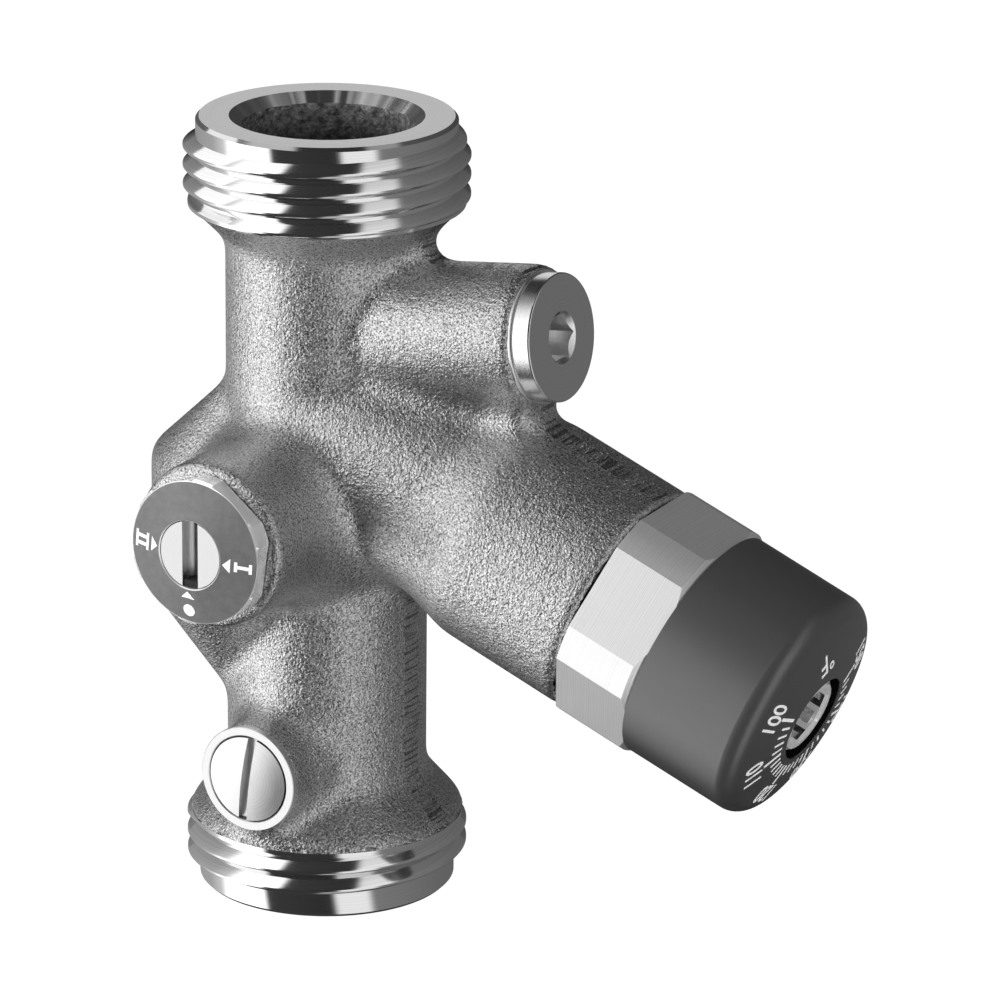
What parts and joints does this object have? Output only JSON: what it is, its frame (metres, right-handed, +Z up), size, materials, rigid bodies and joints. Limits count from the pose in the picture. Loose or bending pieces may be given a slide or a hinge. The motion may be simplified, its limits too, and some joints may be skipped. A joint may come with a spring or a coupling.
{
  "type": "circulation regulating valve",
  "caption": "Inclined-seat regulating valve with male pipe threads, setting dial, selector, sensor plug and port plug.",
  "frame": {"origin": "centre of the lower sealing face, on the pipe axis", "axes": "+Z up along the pipe axis, +X to the side of the regulating branch, -Y to the selector and the port plug"},
  "size_m": [0.0875, 0.046, 0.0932],
  "materials": {
    "cast_body": null,
    "turned_brass": "fine turned",
    "steel": "turned stainless steel",
    "spring_steel": "drawn stainless spring wire and stamped rings",
    "grey_nut": "satin grey face with white marks",
    "black_plastic": "satin moulded plastic with white print",
    "rubber": "moulded elastomer"
  },
  "bodies": {
    "valve": {"valve_body": "cast_body", "bonnet": "turned_brass", "bonnet_seal": "rubber", "dial_cap": "black_plastic", "thrust_washer": "steel", "sensor_plug": "turned_brass", "sensor_plug_o_ring": "rubber", "selector_nut": "grey_nut", "selector_washer": "steel", "port_plug": "turned_brass", "port_plug_o_ring": "rubber", "return_spring": "spring_steel"},
    "spindle": {"setting_spindle": "steel", "spindle_o_ring": "rubber", "spindle_clip": "spring_steel"},
    "sleeve": {"setting_sleeve": "turned_brass", "element_ring": "spring_steel", "expansion_element": "turned_brass", "overtravel_spring": "spring_steel"},
    "plunger": {"plunger": "turned_brass", "plunger_seal": "rubber", "plunger_nut": "turned_brass", "element_piston": "steel"},
    "selector": {"selector_spindle": "steel", "selector_o_ring": "rubber"}
  },
  "joints": [
    {"name": "spindle_turn", "type": "hinge", "parent": "valve", "child": "spindle", "pos_m": [0, 0, 0.0573], "axis": [0.9311, 0, -0.3649], "range_deg": [-150, 150]},
    {"name": "sleeve_slide", "type": "slide", "parent": "valve", "child": "sleeve", "axis": [-0.9311, 0, 0.3649], "range_m": [-0.00063, 0.00063]},
    {"name": "plunger_slide", "type": "slide", "parent": "sleeve", "child": "plunger", "axis": [-0.9311, 0, 0.3649], "range_m": [0, 0.0023], "stiffness_N_per_m": 500, "springref_m": -0.002, "deforming": ["return_spring"]},
    {"name": "selector_turn", "type": "hinge", "parent": "valve", "child": "selector", "pos_m": [0, 0, 0.0483], "axis": [0, -1, 0], "range_deg": [-90, 90]}
  ],
  "couplings": [
    {"joint": "spindle_turn", "follows": "sleeve_slide", "rad_per_m": 4188.8}
  ]
}
